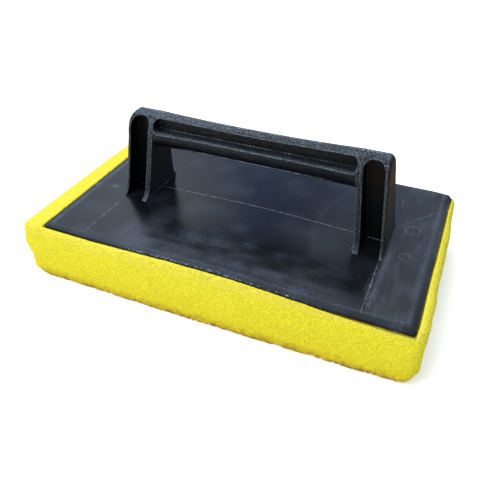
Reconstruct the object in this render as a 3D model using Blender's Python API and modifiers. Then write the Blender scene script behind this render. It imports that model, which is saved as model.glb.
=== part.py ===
"""Foam sponge brush: a moulded plate with a bridge handle, and a block of open-cell foam under it.

Metres, +Z up. +X runs along the length and +Y to the back. The origin is at the centre of the
foam's underside, which is the working face. The plate and its handle are one moulding, and a
thin film of adhesive bonds the foam to it.
"""

import math

import bmesh
import bpy
from mathutils import Vector

# Plate
PLATE_LENGTH = 0.250
PLATE_WIDTH = 0.150
PLATE_THICKNESS = 0.0035
PLATE_CORNER = 0.0025
RIM_WIDTH = 0.004
RIM_DROP = 0.002

# Foam and the film that bonds it
FOAM_THICKNESS = 0.040
OVERHANG_LEFT = 0.0145
OVERHANG_RIGHT = 0.0055
OVERHANG_FRONT = 0.003
OVERHANG_BACK = 0.001
FOAM_CORNER = 0.008
FOAM_EDGE = 0.0035
FILM_THICKNESS = 0.0003
FILM_MARGIN = 0.003
GAP = 0.0003

# Handle, measured up from the top of the plate and out from its centre
FINGER_GAP = 0.1506
FINGER_HEIGHT = 0.036
GRIP_HEIGHT = 0.0238
GRIP_DEPTH = 0.019
LEG_LENGTH = 0.0199
LEG_RISE = 0.0008
INNER_LEAN = 0.098
OUTER_LEAN = 0.132
LEG_DEPTH_FOOT = 0.0366
LEG_DEPTH_HEAD = 0.0226
LEG_CORNER = 0.006
TOE_REACH = 0.0024
TOE_HEIGHT = 0.0065
SHOULDER_BELOW_TOP = 0.0145

# Walls of the handle
INNER_FLANGE = 0.0037
OUTER_FLANGE = 0.0022
WEB = 0.003
ARCH_WALL = 0.0022
CROWN_WALL = 0.0023
LOWER_BAR = 0.013
SLOT_END_WALL = 0.0005

# How the pieces are made
SINK = 0.001
CUT = 0.006
ARC_STEPS = 6

# Sizes that follow
FOAM_LENGTH = PLATE_LENGTH + OVERHANG_LEFT + OVERHANG_RIGHT
FOAM_WIDTH = PLATE_WIDTH + OVERHANG_FRONT + OVERHANG_BACK
FILM_BOTTOM = FOAM_THICKNESS + GAP
PLATE_BOTTOM = FILM_BOTTOM + FILM_THICKNESS + GAP
PLATE_TOP = PLATE_BOTTOM + PLATE_THICKNESS
PLATE_X = (OVERHANG_LEFT - OVERHANG_RIGHT) / 2
PLATE_Y = (OVERHANG_FRONT - OVERHANG_BACK) / 2
GRIP_TOP = FINGER_HEIGHT + GRIP_HEIGHT
LEG_TOP = GRIP_TOP + LEG_RISE


def clear_scene():
    """Remove every object that the new file starts with."""
    for item in list(bpy.data.objects):
        bpy.data.objects.remove(item, do_unlink=True)


def new_collection(name):
    """A collection of its own under the scene."""
    collection = bpy.data.collections.new(name)
    bpy.context.scene.collection.children.link(collection)
    return collection


def new_material(name, colour, roughness):
    """A plain, non-metallic surface of one colour."""
    material = bpy.data.materials.new(name)
    material.use_nodes = True
    shader = material.node_tree.nodes["Principled BSDF"]
    shader.inputs["Base Color"].default_value = (*colour, 1.0)
    shader.inputs["Roughness"].default_value = roughness
    shader.inputs["Metallic"].default_value = 0.0
    return material


def add_mesh(name, mesh, collection, parent):
    """An object that shows a mesh, under its parent."""
    item = bpy.data.objects.new(name, mesh)
    item.parent = parent
    collection.objects.link(item)
    return item


def add_frame(name, location):
    """An empty that carries the pieces measured from one place."""
    frame = bpy.data.objects.new(name, None)
    frame.location = location
    frame.empty_display_size = 0.02
    PARTS.objects.link(frame)
    return frame


def rounded_outline(corners):
    """The closed outline through (x, y, radius) corners, each rounded by an arc of its radius."""
    outline = []
    for index, (x, y, radius) in enumerate(corners):
        corner = Vector((x, y))
        if radius == 0:
            outline.append(corner)
            continue
        back = (Vector(corners[index - 1][:2]) - corner).normalized()
        ahead = (Vector(corners[(index + 1) % len(corners)][:2]) - corner).normalized()
        half_angle = back.angle(ahead) / 2
        centre = corner + (back + ahead).normalized() * (radius / math.sin(half_angle))
        start = corner + back * (radius / math.tan(half_angle)) - centre
        end = corner + ahead * (radius / math.tan(half_angle)) - centre
        first = math.atan2(start.y, start.x)
        turn = math.remainder(math.atan2(end.y, end.x) - first, math.tau)
        for step in range(ARC_STEPS + 1):
            angle = first + turn * step / ARC_STEPS
            outline.append(centre + Vector((math.cos(angle), math.sin(angle))) * radius)
    return outline


def ellipse_arc(centre, half_width, half_height, first, last, steps):
    """Points of an ellipse, from one angle to another in degrees."""
    angles = [math.radians(first + (last - first) * step / steps) for step in range(steps + 1)]
    return [Vector((centre[0] + half_width * math.cos(angle), centre[1] + half_height * math.sin(angle)))
            for angle in angles]


def outline_solid(name, outline, half_thickness, rotation, parent):
    """A flat outline given its thickness, turned to face along the axis it is seen from."""
    curve = bpy.data.curves.new(name, "CURVE")
    curve.dimensions = "2D"
    curve.fill_mode = "BOTH"
    curve.extrude = half_thickness
    spline = curve.splines.new("POLY")
    spline.points.add(len(outline) - 1)
    for point, place in zip(spline.points, outline):
        point.co = (place.x, place.y, 0, 1)
    spline.use_cyclic_u = True
    drawn = add_mesh(name + "_outline", curve, CUTTERS, parent)
    drawn.rotation_euler = rotation
    bpy.context.view_layer.update()
    mesh = bpy.data.meshes.new_from_object(drawn.evaluated_get(bpy.context.evaluated_depsgraph_get()))
    weld_and_face_out(mesh)
    solid = add_mesh(name, mesh, CUTTERS, None)
    solid.matrix_world = drawn.matrix_world.copy()
    bpy.data.objects.remove(drawn, do_unlink=True)
    hide(solid)
    return solid


def weld_and_face_out(mesh):
    """Join a solid's loose caps to its walls, and turn every face outwards."""
    shape = bmesh.new()
    shape.from_mesh(mesh)
    bmesh.ops.remove_doubles(shape, verts=shape.verts, dist=1e-6)
    bmesh.ops.recalc_face_normals(shape, faces=shape.faces)
    shape.to_mesh(mesh)
    shape.free()


def hide(item):
    """Keep a piece that only shapes another out of the picture."""
    item.hide_render = True
    item.display_type = "WIRE"


def combine(item, other, operation):
    """Join, cut or trim one solid by another."""
    step = item.modifiers.new(other.name, "BOOLEAN")
    step.operation = operation
    step.solver = "EXACT"
    step.object = other


def seen_from_front():
    """The turn that stands an outline in the plane of X and Z."""
    return (math.pi / 2, 0, 0)


def seen_from_side():
    """The turn that stands an outline in the plane of Y and Z."""
    return (math.pi / 2, 0, math.pi / 2)


def inner_face(height):
    """Distance from the centre to a leg's inner face."""
    return FINGER_GAP / 2 - INNER_LEAN * height


def outer_face(height):
    """Distance from the centre to a leg's outer face."""
    return FINGER_GAP / 2 + LEG_LENGTH - OUTER_LEAN * height


def box_mesh(name, length, width, height, corner):
    """A box on the plane z = 0, with its upright edges rounded."""
    shape = bmesh.new()
    bmesh.ops.create_cube(shape, size=1)
    bmesh.ops.scale(shape, vec=(length, width, height), verts=shape.verts)
    bmesh.ops.translate(shape, vec=(0, 0, height / 2), verts=shape.verts)
    upright = [edge for edge in shape.edges if abs(edge.verts[0].co.z - edge.verts[1].co.z) > height / 2]
    bmesh.ops.bevel(shape, geom=upright, offset=corner, offset_type="OFFSET", segments=4, profile=0.5,
                    affect="EDGES", clamp_overlap=True)
    mesh = bpy.data.meshes.new(name)
    shape.to_mesh(mesh)
    shape.free()
    return mesh


def raise_rim(mesh):
    """Slope the top face's edge, so that the rim falls away all round."""
    shape = bmesh.new()
    shape.from_mesh(mesh)
    shape.faces.ensure_lookup_table()
    top = max(shape.faces, key=lambda face: face.normal.z * face.calc_area())
    bmesh.ops.inset_region(shape, faces=[top], thickness=RIM_WIDTH, depth=RIM_DROP, use_even_offset=True)
    shape.to_mesh(mesh)
    shape.free()


def leg_profile():
    """A leg from the side: wide toes, straight taper, and a round head."""
    shoulder = LEG_TOP - SHOULDER_BELOW_TOP
    foot = LEG_DEPTH_FOOT / 2
    head = LEG_DEPTH_HEAD / 2
    toe = foot + TOE_REACH
    above_toe = foot - (foot - head) * TOE_HEIGHT / shoulder
    right_side = [Vector((toe, -2 * SINK)), Vector((toe, 0)), Vector((above_toe, TOE_HEIGHT))]
    crown = ellipse_arc((0, shoulder), head, SHOULDER_BELOW_TOP, 0, 180, 4 * ARC_STEPS)
    left_side = [Vector((-place.x, place.y)) for place in reversed(right_side)]
    return right_side + crown + left_side


def make_leg(side, frame):
    """One leg: an H section whose two flanges meet in an arch at the top."""
    name = "leg_left" if side < 0 else "leg_right"
    block = rounded_outline([
        (side * inner_face(-SINK), -SINK, 0),
        (side * outer_face(-SINK), -SINK, 0),
        (side * outer_face(LEG_TOP + SINK), LEG_TOP + SINK, LEG_CORNER + SINK),
        (side * inner_face(LEG_TOP + SINK), LEG_TOP + SINK, 0),
    ])
    leg = outline_solid(name, block, LEG_DEPTH_FOOT, seen_from_front(), frame)
    combine(leg, outline_solid(name + "_profile", leg_profile(), PLATE_LENGTH, seen_from_side(), frame),
            "INTERSECT")
    arch_top = LEG_TOP - ARCH_WALL
    arch_width = outer_face(arch_top) - OUTER_FLANGE - inner_face(arch_top) - INNER_FLANGE
    for facing in (-1, 1):
        channel = rounded_outline([
            (side * (inner_face(-CUT) + INNER_FLANGE), -CUT, 0),
            (side * (outer_face(-CUT) - OUTER_FLANGE), -CUT, 0),
            (side * (outer_face(arch_top) - OUTER_FLANGE), arch_top, 0.48 * arch_width),
            (side * (inner_face(arch_top) + INNER_FLANGE), arch_top, 0.48 * arch_width),
        ])
        cutter = outline_solid(f"{name}_channel_{facing}", channel, LEG_DEPTH_FOOT / 2, seen_from_front(), frame)
        cutter.location.y += facing * (LEG_DEPTH_FOOT + WEB) / 2
        combine(leg, cutter, "DIFFERENCE")
    return leg


def make_grip(frame):
    """The bar between the legs: an oval with a round-ended slot along its front and its back."""
    middle = FINGER_HEIGHT + GRIP_HEIGHT / 2
    oval = ellipse_arc((0, middle), GRIP_DEPTH / 2, GRIP_HEIGHT / 2, 0, 360, 32)[:-1]
    reach = inner_face(GRIP_TOP) + 0.8 * INNER_FLANGE
    grip = outline_solid("grip", oval, reach, seen_from_side(), frame)
    floor = FINGER_HEIGHT + LOWER_BAR
    ceiling = GRIP_TOP - CROWN_WALL
    end = inner_face(ceiling) - SLOT_END_WALL
    radius = 0.48 * (ceiling - floor)
    slot = rounded_outline([(-end, floor, radius), (end, floor, radius),
                            (end, ceiling, radius), (-end, ceiling, radius)])
    for facing in (-1, 1):
        cutter = outline_solid(f"grip_slot_{facing}", slot, GRIP_DEPTH / 2, seen_from_front(), frame)
        cutter.location.y += facing * (GRIP_DEPTH + WEB) / 2
        combine(grip, cutter, "DIFFERENCE")
    return grip


def make_handle_plate():
    """The moulding: the plate, its two legs and the grip between them, all in one piece."""
    frame = add_frame("plate_top_centre", (PLATE_X, PLATE_Y, PLATE_TOP))
    mesh = box_mesh("handle_plate", PLATE_LENGTH, PLATE_WIDTH, PLATE_THICKNESS - RIM_DROP, PLATE_CORNER)
    raise_rim(mesh)
    plate = add_mesh("handle_plate", mesh, PARTS, frame)
    plate.location.z = -PLATE_THICKNESS
    bridge = make_grip(frame)
    for side in (-1, 1):
        combine(bridge, make_leg(side, frame), "UNION")
    combine(plate, bridge, "UNION")
    return plate


def make_bond_film():
    """The adhesive between the plate and the foam, a little inside the plate's edge."""
    mesh = box_mesh("bond_film", PLATE_LENGTH - 2 * FILM_MARGIN, PLATE_WIDTH - 2 * FILM_MARGIN,
                    FILM_THICKNESS, PLATE_CORNER)
    film = add_mesh("bond_film", mesh, PARTS, None)
    film.location = (PLATE_X, PLATE_Y, FILM_BOTTOM)
    return film


def make_foam_block():
    """The foam, a block with soft edges that stands out past the plate all round."""
    mesh = box_mesh("foam_block", FOAM_LENGTH, FOAM_WIDTH, FOAM_THICKNESS, FOAM_CORNER)
    foam = add_mesh("foam_block", mesh, PARTS, None)
    edges = foam.modifiers.new("soft_edges", "BEVEL")
    edges.width = FOAM_EDGE
    edges.segments = 3
    edges.limit_method = "ANGLE"
    edges.angle_limit = math.radians(40)
    return foam


def finish_piece(item, material):
    """Give a piece its material, and shade its round faces smooth."""
    item.data.materials.clear()
    item.data.materials.append(material)
    item.data.shade_smooth()
    item.data.set_sharp_from_angle(angle=math.radians(35))


clear_scene()
PARTS = new_collection("foam_sponge_brush")
CUTTERS = new_collection("cutters")
finish_piece(make_handle_plate(), new_material("black_moulded_plastic", (0.035, 0.042, 0.055), 0.45))
finish_piece(make_bond_film(), new_material("clear_adhesive", (0.75, 0.70, 0.55), 0.30))
finish_piece(make_foam_block(), new_material("yellow_open_cell_foam", (0.87, 0.81, 0.03), 0.95))
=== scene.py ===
# %% [markdown]
# # A foam sponge brush
#
# This tool is a black moulded plate with a bridge handle on it and a thick block of yellow
# open-cell foam bonded under it. The imported model gives the sizes, the two moving bodies and the
# joint. This file makes the surfaces that the eye sees, one piece at a time, around that frame.
# Lengths are in millimetres unless a name or a comment says otherwise, and MM turns one to metres.

# %% The frame, and the boxes of the imported parts
import math

import bpy
import numpy as np
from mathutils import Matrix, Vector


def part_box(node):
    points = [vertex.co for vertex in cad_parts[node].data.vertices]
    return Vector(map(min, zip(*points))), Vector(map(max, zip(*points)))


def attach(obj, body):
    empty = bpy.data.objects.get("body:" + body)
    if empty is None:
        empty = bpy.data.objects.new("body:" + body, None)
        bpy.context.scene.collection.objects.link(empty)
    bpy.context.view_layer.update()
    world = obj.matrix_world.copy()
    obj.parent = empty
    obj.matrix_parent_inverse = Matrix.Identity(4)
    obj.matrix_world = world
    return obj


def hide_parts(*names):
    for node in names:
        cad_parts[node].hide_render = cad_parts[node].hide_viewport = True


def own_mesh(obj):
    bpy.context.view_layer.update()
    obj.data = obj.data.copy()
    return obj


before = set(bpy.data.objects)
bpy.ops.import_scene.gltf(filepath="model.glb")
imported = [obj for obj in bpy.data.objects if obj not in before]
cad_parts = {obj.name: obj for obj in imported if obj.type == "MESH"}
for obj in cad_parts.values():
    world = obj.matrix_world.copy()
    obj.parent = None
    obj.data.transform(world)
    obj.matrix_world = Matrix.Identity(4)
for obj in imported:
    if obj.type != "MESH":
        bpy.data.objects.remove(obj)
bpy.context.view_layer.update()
MM = 0.001
plate_low, handle_high = (np.array(corner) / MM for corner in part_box("handle_plate"))
foam_low, foam_high = (np.array(corner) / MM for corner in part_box("foam_block"))
PLATE_THICKNESS = 3.5
CENTRE_X = (plate_low[0] + handle_high[0]) / 2
CENTRE_Y = (plate_low[1] + handle_high[1]) / 2
PLATE_TOP = plate_low[2] + PLATE_THICKNESS
LEG_TOP = handle_high[2] - PLATE_TOP
HALF_LENGTH = (handle_high[0] - plate_low[0]) / 2
HALF_WIDTH = (handle_high[1] - plate_low[1]) / 2
print(f"plate top at {PLATE_TOP:.1f} mm, handle stands {LEG_TOP:.1f} mm above it")

# %% [markdown]
# ## Camera
#
# A camera is a place, a point it looks at, a slight roll and a lens. Here the place is worked out
# from how far round, how high and how far away the viewer stands, so each number means something.

# %% Camera
AZIMUTH, ELEVATION, ROLL = math.radians(23.51), math.radians(38.37), math.radians(0.22)
DISTANCE = 335.5
TARGET = np.array([CENTRE_X + 15.6, CENTRE_Y - 44.2, PLATE_TOP])
FOCAL_SHARE = 1.0516
SENSOR = 36.0


def aim_camera():
    """Stand on a sphere round the target, look at the target, then roll about the line of sight."""
    back = np.array([math.sin(AZIMUTH) * math.cos(ELEVATION), -math.cos(AZIMUTH) * math.cos(ELEVATION),
                     math.sin(ELEVATION)])
    data = bpy.data.cameras.new("camera")
    data.sensor_width = SENSOR
    data.lens = FOCAL_SHARE * SENSOR
    data.clip_start = 0.01
    camera = bpy.data.objects.new("camera", data)
    camera.location = (TARGET + back * DISTANCE) * MM
    camera.rotation_euler = (math.pi / 2 - ELEVATION, ROLL, AZIMUTH)
    bpy.context.scene.collection.objects.link(camera)
    bpy.context.scene.camera = camera
    return camera


camera = aim_camera()
print("camera at", [round(value / MM) for value in camera.location], "mm, lens", round(camera.data.lens, 1))

# %% [markdown]
# ## Helpers
#
# A piece is made as two arrays, its points and the corner numbers of its faces. One small tool
# turns them into an object, and a second one gives smooth random values at any point.

# %% Mesh from arrays


def make_piece(name, points, faces, attributes=()):
    """A smooth-shaded object from points in millimetres and rows of four corner numbers."""
    mesh = bpy.data.meshes.new(name)
    mesh.vertices.add(len(points))
    mesh.vertices.foreach_set("co", (np.asarray(points, float) * MM).astype(np.float32).ravel())
    corners = np.asarray(faces, np.int32)
    mesh.loops.add(corners.size)
    mesh.loops.foreach_set("vertex_index", corners.ravel())
    mesh.polygons.add(len(corners))
    mesh.polygons.foreach_set("loop_start", np.arange(0, corners.size, corners.shape[1], dtype=np.int32))
    mesh.update(calc_edges=True)
    mesh.validate()
    for label, values in attributes:
        mesh.attributes.new(label, "FLOAT", "POINT").data.foreach_set("value", values.astype(np.float32))
    mesh.shade_smooth()
    piece = bpy.data.objects.new(name, mesh)
    bpy.context.scene.collection.objects.link(piece)
    print(f"{name}: {len(points)} points, {len(corners)} faces")
    return piece


# %% [markdown]
# Real surfaces are never quite regular. The noise below gives each point of a whole-number lattice
# a value of its own by scrambling its three numbers, and blends the eight values round a point.

# %% Smooth noise


def scramble(cell, seed):
    """A value from 0 to 1 for each lattice cell: the fraction of a large sine of its numbers."""
    turned = cell @ np.array([127.1, 311.7, 74.7]) + 53.3 * seed
    return np.modf(np.abs(np.sin(turned)) * 43758.5453)[0]


def noise(points, size, seed):
    """Smooth values from -1 to 1 that change over about size millimetres: the eight lattice values
    round each point, blended by a smoothed share along each axis."""
    place = points / size
    base = np.floor(place)
    share = place - base
    share = share * share * (3 - 2 * share)
    total = np.zeros(len(points))
    for corner in np.ndindex(2, 2, 2):
        weight = np.prod(np.where(corner, share, 1 - share), axis=1)
        total += weight * scramble(base + corner, seed)
    return 2 * total - 1


def smooth_step(low, high, value):
    """0 below low, 1 above high, and a smooth S between them."""
    share = np.clip((value - low) / (high - low), 0, 1)
    return share * share * (3 - 2 * share)


# %% [markdown]
# Both the plate and the foam are blocks seen from all six sides. One function lays a lattice of
# lines over a block and keeps only its skin, with the sides already joined at their edges. Each
# piece then bends that skin to its own shape.

# %% Skin of a block


def block_skin(x_lines, y_lines, z_lines):
    """The outside of a lattice block: its points, and four-cornered faces that point outwards."""
    sizes = (len(x_lines), len(y_lines), len(z_lines))
    spots = np.indices(sizes).reshape(3, -1).T
    last = np.array(sizes) - 1
    on_skin = ((spots == 0) | (spots == last)).any(axis=1)
    number = np.full(len(spots), -1)
    number[on_skin] = np.arange(on_skin.sum())
    number = number.reshape(sizes)
    kept = spots[on_skin]
    points = np.column_stack((x_lines[kept[:, 0]], y_lines[kept[:, 1]], z_lines[kept[:, 2]]))
    faces = []
    for axis in range(3):
        for side, flip in ((0, axis != 1), (-1, axis == 1)):
            sheet = np.take(number, side, axis=axis)
            quads = np.stack((sheet[:-1, :-1], sheet[1:, :-1], sheet[1:, 1:], sheet[:-1, 1:]), axis=-1)
            quads = quads.reshape(-1, 4)
            faces.append(quads[:, ::-1] if flip else quads)
    return points, np.concatenate(faces)


def even_lines(low, high, spacing):
    """Lines from low to high, about spacing apart."""
    return np.linspace(low, high, max(2, round((high - low) / spacing) + 1))


def nearest_inside(points, half_length, half_width, radius):
    """The place nearest each point on the flat shape left when radius is taken off all four sides."""
    limit = np.array([half_length - radius, half_width - radius])
    return np.clip(points[:, :2], -limit, limit)


def round_plan(points, half_length, half_width, radius):
    """Round a block's upright corners. Past the square at each corner a point is measured from the
    square's centre, and its longer side becomes its distance, so a square ring turns into an arc."""
    centre = nearest_inside(points, half_length, half_width, radius)
    arm = points[:, :2] - centre
    reach = np.abs(arm).max(axis=1)
    length = np.maximum(np.hypot(*arm.T), 1e-9)
    moved = points.copy()
    moved[:, :2] = centre + arm * (reach / length)[:, None]
    return moved


# %% [markdown]
# ## Plate
#
# The plate is one flat moulding with a rim that falls away all round. It could be a cube with a
# Bevel modifier, but its top is not quite flat: plastic shrinks as it cools, so its middle bows
# up between the legs and a corner lifts. A skin with many points can carry all of that, and the
# faint marks that the mould leaves: the rings of the ejector pins, and steps where slides met.

# %% Plate
PLATE_CORNER = 2.5
# The rim falls over this width. On the right it is wider, so distances there count for less.
RIM_WIDTH, RIGHT_RIM_SHARE = 3.9, 0.74
PLATE_SPACING = 0.9
# The bow's height, and how far from the middle it has died out.
BOW_HEIGHT, BOW_SPAN = 2.3, 98.0
# Where the legs' inner and outer faces stand, and where the mould's side slides ended.
INNER_FOOT, OUTER_FOOT = 75.3, 95.2
SLIDE_LINE = 94.0
CORNER_LIFT, CHAMFER = 1.2, 1.5
# Each ejector pin's mark: its place and its radius.
PIN_MARKS = ((106.1, 16.9, 4.6), (106.3, -12.9, 3.4), (-109.9, -13.3, 3.2), (-104.0, 38.0, 3.4))
RUBBED_SPOTS = ((-109.9, -13.3, 2.8), (-123.6, -15.5, 2.6))
# The melt stopped along an arc: its centre and its radius.
MELT_FRONT = (125.0, 4.0, 80.0)


def bow(x):
    """How far the moulding has bowed up between its legs: a squared cosine of the way along."""
    return BOW_HEIGHT * np.cos(np.clip(x / BOW_SPAN, -1, 1) * math.pi / 2) ** 2


def rim_fall(x, y):
    """How far the rim's outer edge falls at a place: most on the right, least on the left."""
    along = x / HALF_LENGTH
    side_share = smooth_step(0.9, 1.0, np.abs(along))
    front_back = np.where(y < 0, 0.35 + 1.15 * smooth_step(-0.5, 0.9, along), 1.0)
    return front_back * (1 - side_share) + np.where(along > 0, 1.9, 0.5) * side_share


def plate_surface(x, y, inset):
    """Height of the plate's top over the level of its corners. It is the bow, a slow dip and swell,
    a lifted corner, a ring for each ejector pin, a narrow step at each slide, a bead along the
    rim's inner line, and the rim's fall by a power of the way out from that line."""
    marks = 0.14 * np.sin(x / 31.0) * np.cos(y / 24.0)
    marks += CORNER_LIFT * smooth_step(0.88, 1.0, x / HALF_LENGTH) * smooth_step(0.55, 1.0, y / HALF_WIDTH)
    for mark_x, mark_y, radius in PIN_MARKS:
        away = np.hypot(x - mark_x, y - mark_y)
        marks += 0.10 * np.exp(-((away - radius) / 0.55) ** 2) - 0.05 * smooth_step(radius, radius - 1, away)
    marks += 0.07 * smooth_step(-0.5, 0.5, np.abs(x) - SLIDE_LINE)
    bead = 0.09 * np.exp(-((inset - RIM_WIDTH) / 0.8) ** 2) * np.minimum(rim_fall(x, y), 1)
    fall = rim_fall(x, y) * np.clip(1 - inset / RIM_WIDTH, 0, 1) ** 1.3
    return bow(x) + marks * smooth_step(0, 6, inset) + bead - fall


def plate_scuffs(x, y, inset):
    """How scuffed each point is, from 0 to 1: a worn bead along the rim, a haze near the front, a
    smear beside the slide line, two worn spots, a faint arc where the melt's front stopped, and
    streaks near the front edge, which are noise stretched five times along the plate."""
    flat = np.column_stack((x, y, 0 * x))
    worn = 0.5 + 0.5 * noise(flat, 9.0, 61)
    left = smooth_step(-0.4, -0.9, x / HALF_LENGTH)
    scuffs = np.exp(-((inset - RIM_WIDTH - 0.4) / 1.0) ** 2) * (0.25 + 0.55 * worn) * (0.6 + 0.6 * left)
    scuffs *= 1 - 0.8 * smooth_step(-66, -70, y) * smooth_step(-20, -60, x) * smooth_step(-121, -116, x)
    haze = 0.34 * np.exp(-((x + 17) / 22) ** 2 - ((y + 48) / 9) ** 2)
    haze += 0.26 * smooth_step(-56, -63, y) * smooth_step(-90, -60, x) * smooth_step(95, 80, x)
    scuffs += haze * (0.55 + 0.7 * worn)
    smear = np.exp(-((x - SLIDE_LINE - 3.6 - 0.02 * y) / 1.9) ** 2)
    smear *= smooth_step(5, -15, y) * smooth_step(-70, -52, y)
    scuffs += 0.75 * smear * (0.45 + 0.8 * worn)
    for spot_x, spot_y, reach in RUBBED_SPOTS:
        scuffs += np.exp(-((x - spot_x) ** 2 + ((y - spot_y) * 1.3) ** 2) / reach ** 2)
    melt_x, melt_y, melt_reach = MELT_FRONT
    arc = np.hypot(x - melt_x, y - melt_y) - melt_reach
    scuffs += 0.15 * np.exp(-(arc / 2.4) ** 2) * smooth_step(-42, -25, y) * smooth_step(62, 35, y)
    streaks = 0.6 * noise(flat * (1 / 5, 1, 0), 3.6, 62) + 0.6 * noise(flat, 7.0, 65)
    front = smooth_step(-28, -52, y) * smooth_step(-74, -66, y)
    scuffs += np.maximum(streaks + 0.3, 0) * 0.32 * front * smooth_step(-100, -50, x) * smooth_step(92, 60, x)
    scuffs += 0.22 * np.maximum(noise(flat, 14.0, 63) + 0.15, 0)
    scuffs += 0.3 * np.maximum(noise(flat * (1, 1 / 6, 0), 1.9, 64), 0) * smooth_step(92, 102, x)
    return np.clip(scuffs, 0, 1)


def left_skew(y):
    """How far the plate's left edge stands out past its even line."""
    return 0.9 + 0.9 * smooth_step(-60, 40, y)


def make_plate():
    """The plate's skin: corners rounded, left edge a little askew, back right corner drawn out and
    cut off, burrs left along the trimmed edges, and the top shaped by plate_surface."""
    points, faces = block_skin(even_lines(-HALF_LENGTH, HALF_LENGTH, PLATE_SPACING),
                               even_lines(-HALF_WIDTH, HALF_WIDTH, PLATE_SPACING), np.linspace(0, 1, 4))
    inset = np.minimum.reduce((HALF_LENGTH + points[:, 0], (HALF_LENGTH - points[:, 0]) * RIGHT_RIM_SHARE,
                               HALF_WIDTH - np.abs(points[:, 1])))
    share = points[:, 2].copy()
    points = round_plan(points, HALF_LENGTH, HALF_WIDTH, PLATE_CORNER)
    x, y = points[:, 0].copy(), points[:, 1].copy()
    flat = np.column_stack((x, y, 0 * x))
    points[:, 0] -= smooth_step(-0.9, -1.0, x / HALF_LENGTH) * left_skew(y)
    points[:, 0] += 1.3 * smooth_step(0.9, 1.0, x / HALF_LENGTH) * smooth_step(0.82, 0.95, y / HALF_WIDTH)
    points[:, :2] -= CHAMFER * smooth_step(-6.0, -1.0, x - HALF_LENGTH + y - HALF_WIDTH)[:, None]
    burr = 0.45 * np.maximum(noise(flat, 1.9, 5), 0) * np.maximum(noise(flat, 23.0, 6) + 0.4, 0)
    burr *= inset < 0.1
    points[:, 1] -= burr * smooth_step(-0.9, -1.0, y / HALF_WIDTH)
    height = plate_surface(x, y, inset) - bow(x)
    points[:, 2] = share * (PLATE_THICKNESS + height + burr * 0.5) + bow(x)
    points += (CENTRE_X, CENTRE_Y, PLATE_TOP - PLATE_THICKNESS)
    scuffs = plate_scuffs(x, y, inset) + smooth_step(0.1, 0.3, burr)
    return make_piece("moulded_plate", points, faces, [("scuffed", np.clip(scuffs, 0, 1))])


plate = make_plate()

# %% [markdown]
# ## Handle
#
# The handle is two H-shaped legs and a slotted bar that flow into each other with small fillets.
# Cutting boxes out of boxes gives hard edges with no fillets, so it is drawn as a distance
# instead: for any point in space, how far it is from the surface, less than nought inside. Two
# such distances are joined, cut or trimmed by simple sums, and each sum can round the edge that
# it makes. The surface is then the place where the distance is nought.

# %% Rounded sums of distances


def trim(a, b, radius):
    """Inside both shapes, with the edge between them rounded: past both faces the distance is
    measured from an arc's centre, radius inside each face."""
    outside = np.hypot(np.maximum(a + radius, 0), np.maximum(b + radius, 0))
    return np.minimum(-radius, np.maximum(a, b)) + outside


def cut(a, b, radius):
    """Inside the first shape and outside the second, with the edge rounded."""
    return trim(a, -b, radius)


def join(a, b, radius):
    """Inside either shape, with a fillet where they meet."""
    return -trim(-a, -b, radius)


def oval_distance(a, b, half_a, half_b):
    """About how far a point is from an oval: how many times its own size away the point is, divided
    by how fast that number grows there."""
    ring = np.maximum(np.hypot(a / half_a, b / half_b), 1e-6)
    slope = np.maximum(np.hypot(a / half_a ** 2, b / half_b ** 2), 1e-6)
    return (ring - 1) * ring / slope


# %% [markdown]
# A leg seen from the side tapers from wide toes to a round head. Seen from the front its two
# flanges lean inwards, and the hollow between them ends in an arch under the top.

# %% Legs
HANDLE_SHIFT = -1.3
INNER_LEAN, OUTER_LEAN = 0.098, 0.132
FOOT_DEPTH, HEAD_DEPTH = 18.1, 11.4
SHOULDER = LEG_TOP - 14.5
INNER_FLANGE, WEB = 3.7, 3.0
LEFT_OUTER_FLANGE, RIGHT_OUTER_FLANGE = 2.7, 2.6
TOE_REACH, TOE_HEIGHT = 5.0, 2.7
CORNER_RADIUS, ARCH_RADIUS = 6.0, 5.4
ROOF = 2.3


def leg_side_distance(y, z):
    """From the side: a straight taper with flared toes up to the shoulder, half an ellipse above."""
    depth = FOOT_DEPTH - (FOOT_DEPTH - HEAD_DEPTH) * z / SHOULDER
    depth = depth + TOE_REACH * np.exp(-np.maximum(z, 0) / TOE_HEIGHT)
    head = oval_distance(y, np.maximum(z - SHOULDER, 0), HEAD_DEPTH, LEG_TOP - SHOULDER)
    return np.where(z > SHOULDER, head, (np.abs(y) - depth) * 0.93)


def leg_distance(x, y, z):
    """Both legs at once: the outline from the front, trimmed by the outline from the side, less the
    hollow at the front and back of the web. The left leg's outer face leans less than the right's,
    and the right's stands further out."""
    left = x < 0
    x = np.abs(x)
    inner = INNER_FOOT - INNER_LEAN * z + np.where(left, 0, 1.3 - 0.026 * z) - x
    outer = x - OUTER_FOOT + OUTER_LEAN * z - np.where(left, 0.3 + 0.032 * z, 0.9 + 0.012 * z)
    outline = np.maximum(inner, trim(outer, z - LEG_TOP - 0.5, CORNER_RADIUS))
    edge_radius = 0.6 + 1.7 * smooth_step(-3.0, -0.5, outer)
    block = trim(outline, leg_side_distance(y, z), edge_radius)
    flange = np.where(left, LEFT_OUTER_FLANGE, RIGHT_OUTER_FLANGE)
    walls = np.maximum(inner + INNER_FLANGE, outer + flange)
    arch = trim(outer + flange, z - LEG_TOP + ROOF, ARCH_RADIUS)
    hollow = trim(inner + INNER_FLANGE, arch, ARCH_RADIUS)
    hollow = np.where(z < SHOULDER, walls, np.maximum(hollow, walls))
    hollow = trim(hollow, WEB / 2 - np.abs(y), 0.9)
    return cut(block, hollow, 0.5)


# %% [markdown]
# The grip is an oval bar, a little deeper and higher where it meets the legs. A slot with round
# ends runs along its front and its back and leaves a thin web, so that the plastic cools evenly.

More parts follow.
